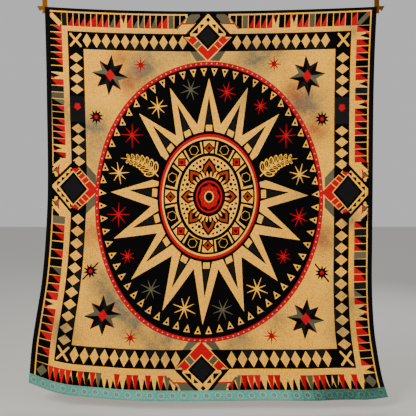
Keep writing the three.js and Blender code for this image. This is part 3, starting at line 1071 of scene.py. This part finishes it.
def puckers(u, v):
    bumps = [
        noise.noise((a * 14, b * 14, 0.3)) + 0.5 * noise.noise((a * 33, b * 27, 4.1))
        for a, b in zip(u.tolist(), v.tolist())
    ]
    return PUCKER * np.array(bumps)


STRIPS = {"side": SIDE_BINDING, "top": TOP_BINDING, "hem": HEM_BAND}
QUILTED_BOXES = (KEY_SEAM, BAND_OUTER, BAND_INNER)


# Half the cloth's thickness at flat places, less where it is stitched through and under the strips
def half_thick(u, v, ellipses):
    free = smoothstep(inside_line(u, v, STRIPS), 0, PRESSED_REACH)
    half = PRESSED_HALF + (HALF - PRESSED_HALF) * free
    lines = [inside_line(u, v, insets) for insets in QUILTED_BOXES]
    lines += [off_ellipse(u, v, ellipse) for ellipse in ellipses]
    for line in lines:
        half = half - SEAM_DEEP * np.clip(1 - (line / SEAM_REACH) ** 2, 0, 1) ** 2 * free
    return half, free


def face_at(u, v, on_seam):
    half, free = half_thick(u, v, (DISC,))
    return lifted(u, v, half + (puckers(u, v) - SUNK_SEAM * on_seam) * free)


def back_at(u, v):
    half, free = half_thick(u, v, (OVAL, DISC))
    return lifted(u, v, -half - puckers(u, v) * free)


# The stitched lines as they show on the back, each with the two edges of its trough
def stitched_lines():
    lines = []
    for by in (-SEAM_REACH, 0, SEAM_REACH):
        for insets in QUILTED_BOXES:
            side, top, foot = insets["side"] + by, insets["top"] + by, LONG - insets["hem"] - by
            lines.append([(side, top), (WIDE - side, top), (WIDE - side, foot), (side, foot)])
        for ellipse in (OVAL, DISC):
            lines.append([on_ellipse(grown(ellipse, by), 1.0, TAU * k / 240) for k in range(240)])
    return lines


# Quads between the points of one section at many stations, back to the first station if it is closed
def loft(stations, count, closed=False):
    faces = []
    for k in range(stations if closed else stations - 1):
        first, after = k * count, (k + 1) % stations * count
        for i in range(count):
            j = (i + 1) % count
            faces.append((first + i, after + i, after + j, first + j))
    return faces


# A strip's stitched edge: how far in from the edge, and how high over the cloth's half thickness
STITCHED_EDGE = ((0.0, -0.0004), (0.0022, -0.0002), (0.0045, 0.0001))
STRIP_PUFF = 0.0003


# The section of a folded strip: inset from the edge and lift, with a sunk stitch line and a rounded fold
def folded_section(wide):
    face = [(wide - back, HALF + high) for back, high in STITCHED_EDGE]
    face += [(wide * share, HALF + STRIP_PUFF) for share in (0.6, 0.3)]
    face += [(0.0, HALF)]
    fold = [(-FOLD_OUT * math.cos(a), HALF * math.sin(a)) for a in (math.radians(60), math.radians(20))]
    outer = face + fold
    outer += [(inset, -lift) for inset, lift in reversed(outer)]
    inner = HALF - STRIP_CLOTH
    lining = [(wide, inner), (wide * 0.5, inner), (0.0, inner), (-STRIP_GAP, inner * 0.5)]
    lining += [(inset, -lift) for inset, lift in reversed(lining)]
    return outer, lining


def mitre(inset, own, other):
    return -FOLD_OUT + (inset + FOLD_OUT) * (other + FOLD_OUT) / (own + FOLD_OUT) + BUTT_GAP / 2


# A strip from its width and stations: place_at turns a station and an inset into a flat place
def folded_strip(name, wide, stations, place_at, flip):
    outer, lining = folded_section(wide)
    outline = outer + lining[::-1]
    count = len(outline)
    points = []
    flat = []
    for at in stations:
        for inset, lift in outline:
            u, v = place_at(at, inset)
            points.append(lifted(u, v, lift))
            flat.append((u, v + (0.2 if lift < 0 else 0)))
    last = (len(stations) - 1) * count
    faces = loft(len(stations), count)
    faces += [tuple(range(count)), tuple(range(last + count - 1, last - 1, -1))]
    if flip:
        faces = [f[::-1] for f in faces]
    zeros = np.zeros(len(faces))
    return mesh_piece(name, points, faces, ["edging"], zeros, zeros, flat)


def evenly(start, end, step):
    count = math.ceil((end - start) / step)
    return [start + (end - start) * k / count for k in range(count + 1)]


def bindings():
    downs = evenly(-FOLD_OUT, LONG - HEM_BAND - BUTT_GAP, STRIP_STEP)
    acrosses = evenly(-FOLD_OUT, WIDE + FOLD_OUT, STRIP_STEP)

    def left(at, inset):
        return inset, max(at, mitre(inset, SIDE_BINDING, TOP_BINDING))

    def right(at, inset):
        return WIDE - inset, max(at, mitre(inset, SIDE_BINDING, TOP_BINDING))

    def top(at, inset):
        joint = mitre(inset, TOP_BINDING, SIDE_BINDING)
        return min(max(at, joint), WIDE - joint), inset

    made = {
        "binding_left": folded_strip("edge_left", SIDE_BINDING, downs, left, False),
        "binding_right": folded_strip("edge_right", SIDE_BINDING, downs, right, True),
        "binding_top": folded_strip("edge_top", TOP_BINDING, acrosses, top, True),
    }
    for node, piece in made.items():
        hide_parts(node)
    return list(made.values())


# The hem band, cut along its rosettes: s runs from its stitched edge on the face, over the fold, to the back
HEM_TURN = math.pi * HALF * 0.7
HEM_ACROSS = WIDE + 2 * FOLD_OUT
HEM_DOWN = 2 * HEM_BAND + HEM_TURN
HEM_STEP = 0.006
HEM_BACK_STEP = 0.011
HEM_PUFF = 0.0002
HEM_PUCKER = 0.00025

# Its rosettes with their rings' cloth, size and wave, how far they stray, and the diamonds between them
ROSETTE_PITCH = 0.058
ROSETTE_RINGS = (("ring", 0.0182, 0.0020), ("dusk", 0.0098, 0.0), ("ring", 0.0036, 0.0))
ROSETTE_STRAY = 0.002
LOZENGE_OFF = 0.017
LOZENGE_WIDE = 0.005
LOZENGE_LONG = 0.0045

# Its stitched line: how deep, how far from the band's edge and how wide
STITCH_DEEP = 0.0005
STITCH_IN = 0.003
STITCH_REACH = 0.004


# The band is made darker, a little at its left end and much more towards its right end
def hem_tone(u):
    return -float(smoothstep(u, 1.33, 1.62)) - 0.3 * float(1 - smoothstep(u, 0.10, 0.45))


def hem_rosettes():
    laid = [("teal", 0.0, [(0, 0), (HEM_ACROSS, 0), (HEM_ACROSS, HEM_DOWN), (0, HEM_DOWN)])]
    count = int(WIDE / ROSETTE_PITCH)
    pitch = HEM_ACROSS / count
    rows = [0, *(HEM_BAND + HEM_TURN * j / 4 for j in range(5)), HEM_DOWN]
    turns = [TAU * j / 24 for j in range(24)]
    for k in range(count):
        start, end = k * pitch, (k + 1) * pitch
        length = [(start, s) for s in rows] + [(end, s) for s in reversed(rows)]
        laid.append(("teal", hem_tone(start + pitch / 2), length))
    for k in range(count):
        tone = hem_tone((k + 0.5) * pitch)
        for row in (HEM_BAND * 0.50, HEM_BAND * 1.5 + HEM_TURN):
            centre = (WIDE * (k + 0.5) / count, row + ROSETTE_STRAY * math.sin(k * 1.7))
            for kind, size, wave in ROSETTE_RINGS:
                rim = [around(centre, size + wave * math.cos(8 * angle), angle) for angle in turns]
                laid.append((kind, tone, rim))
            for side in (-1, 1):
                u, s = centre[0] + WIDE / count / 2, row + side * LOZENGE_OFF
                laid.append(("ring", tone, [(u - LOZENGE_WIDE, s), (u, s - LOZENGE_LONG),
                                            (u + LOZENGE_WIDE, s), (u, s + LOZENGE_LONG)]))
    return laid


def hem_place(u, s, lift):
    turn = np.clip((s - HEM_BAND) / HEM_TURN, 0, 1) * math.pi
    inset = np.where(s < HEM_BAND, HEM_BAND - s, np.maximum(s - HEM_BAND - HEM_TURN, 0))
    inset = inset - FOLD_OUT * 0.9 * np.sin(turn)
    stitched = STITCH_DEEP * np.clip(1 - np.abs(inset - HEM_BAND + STITCH_IN) / STITCH_REACH, 0, 1)
    return lifted(u - FOLD_OUT, LONG - inset, (HALF + lift - stitched) * np.cos(turn))


def hem_band():
    def front(u, s, on_seam):
        bumps = np.array([noise.noise((a * 40, b * 30, 2.2)) for a, b in zip(u.tolist(), s.tolist())])
        return hem_place(u, s, HEM_PUFF + HEM_PUCKER * bumps)

    def lining(u, s):
        return hem_place(u, s, -STRIP_CLOTH * 0.8)

    piece = pieced_sheet("hem_cloth", HEM_ACROSS, HEM_DOWN, hem_rosettes(), HEM_STEP, HEM_BACK_STEP,
                         front, lining, ["teal", "ring", "dusk"], "teal")
    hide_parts("hem_band")
    return piece


# The dotted tape round the medallion
TAPE_STATIONS = 544
TAPE_SECTION = ((0.0, 0.0), (0.0, 0.6), (0.12, 1.0), (0.5, 1.15), (0.88, 1.0), (1.0, 0.6), (1.0, 0.0))
TAPE_DOTS = 136
TAPE_DOT = 0.0036


def tape():
    points = []
    flat = []
    for k in range(TAPE_STATIONS):
        angle = TAU * k / TAPE_STATIONS
        for share, high in TAPE_SECTION:
            u, v = on_ellipse(grown(OVAL, -TAPE_WIDE * share), 1.0, angle)
            points.append(lifted(u, v, HALF + TAPE_LIFT + TAPE_THICK * high))
            flat.append((u, v))
    faces = [(a, d, c, b) for a, b, c, d in loft(TAPE_STATIONS, len(TAPE_SECTION), closed=True)]
    kind_of = [0] * len(faces)
    for k in range(TAPE_DOTS):
        centre = on_ellipse(grown(OVAL, -TAPE_WIDE / 2), 1.0, TAU * (k + 0.5) / TAPE_DOTS)
        first = len(points)
        for j in range(10):
            u, v = around(centre, TAPE_DOT, TAU * j / 10)
            points.append(lifted(u, v, HALF + TAPE_LIFT + TAPE_THICK * 1.35))
            flat.append((u, v))
        faces.append(tuple(range(first + 9, first - 1, -1)))
        kind_of.append(1)
    piece = mesh_piece("oval_tape", points, faces, ["tape", "pale"], kind_of, [0.0] * len(faces), flat)
    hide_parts("medallion_tape")
    return piece


# The brass hooks, with softened edges
HOOK_X = 0.928
HOOK_WIDE = 0.028
HOOK_TOP = 0.058
HOOK_FOOT = 0.034
LUG_REACH = 0.030
LUG_TOP = 0.007
LUG_TIP = -0.021


def hook(node, side):
    half = HOOK_WIDE / 2
    outline = [(-half, -HOOK_FOOT), (half, -HOOK_FOOT), (half, LUG_TIP / 2), (half + LUG_REACH / 2, LUG_TIP),
               (half + LUG_REACH, LUG_TOP), (half, LUG_TOP), (half, HOOK_TOP - half)]
    outline += [(half * math.cos(a), HOOK_TOP - half + half * math.sin(a))
                for a in (math.pi * k / 16 for k in range(1, 17))]
    count = len(outline)
    points = [(side * (HOOK_X + x), -y, z) for y in (HOOK_THICK, 0.0) for x, z in outline]
    faces = [tuple(range(count)), tuple(range(2 * count - 1, count - 1, -1))]
    faces += [(k, count + k, count + (k + 1) % count, (k + 1) % count) for k in range(count)]
    if side < 0:
        faces = [f[::-1] for f in faces]
    piece = mesh_piece(node + "_brass", points, faces, ["brass"])
    bevel = piece.modifiers.new("soft edges", "BEVEL")
    bevel.width = 0.0009
    bevel.segments = 3
    bevel.limit_method = "ANGLE"
    depsgraph = bpy.context.evaluated_depsgraph_get()
    rounded = bpy.data.meshes.new_from_object(piece.evaluated_get(depsgraph))
    piece.modifiers.clear()
    piece.data = rounded
    for polygon in rounded.polygons:
        polygon.use_smooth = False
    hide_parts(node)
    return piece


# Materials

class Nodes:
    def __init__(self, name):
        self.material = bpy.data.materials.new(name)
        self.material.use_nodes = True
        self.tree = self.material.node_tree
        self.shader = self.tree.nodes["Principled BSDF"]

    def add(self, kind, inputs=None, **settings):
        node = self.tree.nodes.new(kind)
        for name, value in settings.items():
            setattr(node, name, value)
        for name, value in (inputs or {}).items():
            if isinstance(value, bpy.types.NodeSocket):
                self.tree.links.new(value, node.inputs[name])
            else:
                node.inputs[name].default_value = value
        return node

    def math(self, operation, a, b=0.0, clamp=False):
        return self.add("ShaderNodeMath", {0: a, 1: b}, operation=operation, use_clamp=clamp).outputs[0]

    def mix(self, factor, a, b, blend="MIX"):
        node = self.tree.nodes.new("ShaderNodeMix")
        node.data_type = "RGBA"
        node.blend_type = blend
        for socket, value in (("Factor_Float", factor), ("A_Color", a), ("B_Color", b)):
            target = next(s for s in node.inputs if s.identifier == socket)
            if isinstance(value, bpy.types.NodeSocket):
                self.tree.links.new(value, target)
            else:
                target.default_value = value
        return next(s for s in node.outputs if s.identifier == "Result_Color")

    def noise(self, where, scale, detail=3.0, rough=0.55):
        inputs = {"Vector": where, "Scale": scale, "Detail": detail, "Roughness": rough}
        return self.add("ShaderNodeTexNoise", inputs).outputs["Fac"]

    def link(self, socket, name):
        self.tree.links.new(socket, self.shader.inputs[name])


# Cotton: a tone for each patch, a painted highlight along the seams, soft clouds, slubby threads and a canvas
# grain
def cotton(name, colour, clouds=0.10, grain=0.22, thread=0.16, spread=0.10, seam_highlight=0.0, stains_and_shade=False):
    n = Nodes(name)
    where = n.add("ShaderNodeUVMap", uv_map="flat").outputs["UV"]
    tone = n.add("ShaderNodeAttribute", attribute_name="tone").outputs["Fac"]
    cloud = n.noise(where, 9.0)
    speck = n.noise(where, 150.0, 2.0, 0.6)
    parts = n.add("ShaderNodeSeparateXYZ", {"Vector": where}).outputs

    def slubs(x_scale, y_scale):
        x, y = n.math("MULTIPLY", parts["X"], x_scale), n.math("MULTIPLY", parts["Y"], y_scale)
        return n.noise(n.add("ShaderNodeCombineXYZ", {"X": x, "Y": y}).outputs[0], 1.0, 2.0)

    threads = n.math("ADD", slubs(220.0, 34.0), slubs(34.0, 220.0))
    value = n.math("ADD", 1.0, n.math("MULTIPLY", tone, spread * 0.5))
    # Painted highlight: the cloth is made paler where the seam attribute marks a sewn line
    if seam_highlight:
        seam = n.add("ShaderNodeAttribute", attribute_name="seam").outputs["Fac"]
        value = n.math("ADD", value, n.math("MULTIPLY", seam, seam_highlight))
    for signal, middle, share in ((cloud, 0.5, clouds), (speck, 0.5, grain), (threads, 1.0, thread)):
        value = n.math("ADD", value, n.math("MULTIPLY", n.math("SUBTRACT", signal, middle), share * 2))
    shade = n.add("ShaderNodeCombineColor", {"Red": value, "Green": value, "Blue": value}).outputs[0]
    base = colour_with_stains_and_shade(n, colour) if stains_and_shade else (*colour, 1)
    n.link(n.mix(1.0, base, shade, "MULTIPLY"), "Base Color")
    height = n.math("ADD", n.math("MULTIPLY", threads, 0.6), n.math("MULTIPLY", speck, 0.5))
    bump = n.add("ShaderNodeBump", {"Strength": 0.35, "Distance": 0.0012, "Height": height})
    n.link(bump.outputs["Normal"], "Normal")
    n.shader.inputs["Roughness"].default_value = 0.9
    n.shader.inputs["Specular IOR Level"].default_value = 0.08
    return n.material


# Soft grey and reddish stains, and grey painted shade over the lower corners, kept as a share at each point
# of the field, broken up by clouds
def colour_with_stains_and_shade(n, colour):
    where = n.add("ShaderNodeUVMap", uv_map="flat").outputs["UV"]
    broken = n.math("MULTIPLY", n.noise(where, 16.0, 4.0, 0.6), 2.3)
    base = (*colour, 1)
    # The grey is partly real stains and partly painted shade over the lower corners
    for name, mark_colour in (("grey_stain_and_shade", (0.20, 0.16, 0.085, 1)), ("stain_red", (0.36, 0.09, 0.035, 1))):
        share = n.add("ShaderNodeAttribute", attribute_name=name).outputs["Fac"]
        factor = n.math("MULTIPLY", share, broken, clamp=True)
        base = n.mix(factor, base, mark_colour)
    return base


def brass():
    n = Nodes("brass")
    where = n.add("ShaderNodeTexCoord").outputs["Object"]
    cloud = n.noise(where, 40.0, 4.0, 0.6)
    n.link(n.mix(cloud, (0.080, 0.026, 0.002, 1), (0.22, 0.085, 0.007, 1)), "Base Color")
    worn = n.add("ShaderNodeMapRange", {"Value": cloud, "To Min": 0.52, "To Max": 0.68})
    n.link(worn.outputs[0], "Roughness")
    n.shader.inputs["Metallic"].default_value = 1.0
    scratches = n.noise(where, 600.0, 2.0)
    bump = n.add("ShaderNodeBump", {"Strength": 0.15, "Distance": 0.0004, "Height": scratches})
    n.link(bump.outputs["Normal"], "Normal")
    return n.material


CREAM = (0.970, 0.465, 0.040)
materials = {
    "cream": cotton("cream_cotton", CREAM, grain=0.8, thread=0.4, seam_highlight=0.20, stains_and_shade=True),
    "field": cotton("field_cotton", CREAM, clouds=0.2, grain=0.8, thread=0.4, seam_highlight=0.15, stains_and_shade=True),
    "backing": cotton("backing_cotton", (0.640, 0.440, 0.190), clouds=0.2, grain=0.5, thread=0.4),
    "black": cotton("black_cotton", (0.0006, 0.0006, 0.0008), spread=0.3),
    "charcoal": cotton("charcoal_cotton", (0.0072, 0.0072, 0.0080), grain=0.6, spread=0.5),
    "red": cotton("red_cotton", (0.500, 0.0001, 0.0080), spread=0.45),
    "rust": cotton("rust_cotton", (0.330, 0.040, 0.010), spread=0.8),
    "grey": cotton("grey_cotton", (0.104, 0.092, 0.052), spread=0.4),
    "edging": cotton("edging_cotton", (0.0018, 0.0019, 0.0026)),
    "teal": cotton("teal_cotton", (0.092, 0.405, 0.305), clouds=0.4, spread=1.3),
    "pale": cotton("pale_cotton", (0.400, 0.450, 0.390)),
    "ring": cotton("ring_cotton", (0.280, 0.410, 0.365), spread=1.3),
    "dusk": cotton("dusk_cotton", (0.080, 0.220, 0.165), spread=1.3),
    "tape": cotton("tape_cotton", (0.500, 0.0001, 0.0080), clouds=0.4),
    "brass": brass(),
}

# Stains of the field, and patches of painted shade near its lower corners: u and v of the middle, reach, and
# how much grey and how much red they hold
STAINS_AND_SHADE = (
    (0.54, 0.34, 0.09, 0.6, 0.0), (0.50, 0.41, 0.07, 0.2, 0.6), (0.43, 0.26, 0.06, 0.0, 0.5),
    (0.62, 0.28, 0.11, 0.5, 0.0), (0.81, 0.24, 0.07, 0.5, 0.0), (0.29, 0.68, 0.09, 0.8, 0.0),
    (0.27, 0.84, 0.09, 0.4, 0.0), (0.12, 0.61, 0.10, 0.5, 0.1), (1.21, 0.27, 0.13, 0.7, 0.0),
    (1.35, 0.23, 0.07, 0.4, 0.0), (1.45, 0.46, 0.06, 0.2, 0.6), (1.50, 0.52, 0.08, 0.7, 0.2),
    (1.58, 0.54, 0.10, 0.5, 0.0), (1.59, 0.67, 0.07, 0.0, 0.7), (1.80, 0.11, 0.06, 0.5, 0.0),
    (0.26, 1.27, 0.09, 0.1, 0.5), (0.34, 1.53, 0.09, 0.6, 0.0), (0.44, 1.64, 0.10, 0.7, 0.0),
    # Painted shade: the grey patch at u 0.17, v 1.84 darkens the lower left corner
    (0.55, 1.75, 0.09, 0.8, 0.0), (0.73, 1.87, 0.12, 0.7, 0.0), (0.17, 1.84, 0.09, 0.8, 0.0),
    (1.63, 1.29, 0.08, 0.5, 0.6), (1.15, 1.86, 0.09, 0.7, 0.0), (1.37, 1.74, 0.09, 0.4, 0.0),
    # Painted shade: the grey patches at u 1.79, v 1.66 and at u 1.74, v 1.83 darken the lower right corner
    (1.79, 1.66, 0.12, 0.5, 0.0), (1.74, 1.83, 0.08, 0.5, 0.0), (1.80, 1.19, 0.06, 0.6, 0.0),
    (1.50, 1.02, 0.08, 0.5, 0.0), (1.17, 0.50, 0.07, 0.4, 0.0),
)


def add_stains_and_shade(piece):
    count = len(piece.data.vertices)
    flat = np.zeros((count, 2))
    corners = np.zeros(len(piece.data.loops), np.int32)
    piece.data.loops.foreach_get("vertex_index", corners)
    places = np.zeros(len(corners) * 2, np.float32)
    piece.data.uv_layers["flat"].data.foreach_get("uv", places)
    flat[corners] = places.reshape(-1, 2)
    shares = {"grey_stain_and_shade": np.zeros(count), "stain_red": np.zeros(count)}
    for u, v, reach, grey, red in STAINS_AND_SHADE:
        fade = np.exp(-((flat[:, 0] - u) ** 2 + (flat[:, 1] - v) ** 2) / reach ** 2)
        shares["grey_stain_and_shade"] += grey * fade
        shares["stain_red"] += red * fade
    for name, share in shares.items():
        values = piece.data.attributes.new(name, "FLOAT", "POINT")
        values.data.foreach_set("value", share.astype(np.float32))


def quilt():
    lay_out_face()
    kinds = ["cream", "field", "black", "charcoal", "red", "rust", "grey", "backing"]
    cloth = pieced_sheet("pieced_quilt", WIDE, LONG, patches, FACE_STEP, BACK_STEP, face_at, back_at, kinds,
                         "backing", stitched_lines())
    add_stains_and_shade(cloth)
    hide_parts("quilt_panel")
    strips = bindings() + [hem_band(), tape()]
    hooks = [hook("hook_left", -1), hook("hook_right", 1)]


# Stage and light
FLOOR_DOWN = 2.26


def stage():
    reach = 14
    mesh = bpy.data.meshes.new("floor")
    corners = [(-reach, -reach, -FLOOR_DOWN), (reach, -reach, -FLOOR_DOWN), (reach, reach, -FLOOR_DOWN),
               (-reach, reach, -FLOOR_DOWN)]
    mesh.from_pydata(corners, [], [(0, 1, 2, 3)])
    n = Nodes("floor_paint")
    n.shader.inputs["Base Color"].default_value = (0.62, 0.60, 0.57, 1)
    n.shader.inputs["Roughness"].default_value = 0.9
    mesh.materials.append(n.material)
    floor = bpy.data.objects.new("floor", mesh)
    bpy.context.collection.objects.link(floor)


def area_light(name, place, target, size, power, colour=(1, 1, 1)):
    data = bpy.data.lights.new(name, "AREA")
    data.shape = "DISK"
    data.size = size
    data.energy = power
    data.color = colour
    lamp = bpy.data.objects.new(name, data)
    lamp.location = place
    lamp.rotation_euler = (Vector(target) - Vector(place)).to_track_quat("-Z", "Y").to_euler()
    bpy.context.collection.objects.link(lamp)


def light():
    world = bpy.data.worlds.new("studio")
    world.use_nodes = True
    world.node_tree.nodes["Background"].inputs["Color"].default_value = (0.90, 0.90, 0.90, 1)
    world.node_tree.nodes["Background"].inputs["Strength"].default_value = 0.62
    bpy.context.scene.world = world
    middle = (0, 0, -1.1)
    area_light("key", (-2.6, -3.6, 1.2), middle, 2.2, 165, (1.0, 0.96, 0.90))
    area_light("fill", (3.2, -3.4, -0.6), middle, 2.6, 60, (1.0, 0.98, 0.95))
    area_light("rear", (1.5, 3.2, 0.8), middle, 2.5, 60)


make_camera()
quilt()
stage()
light()
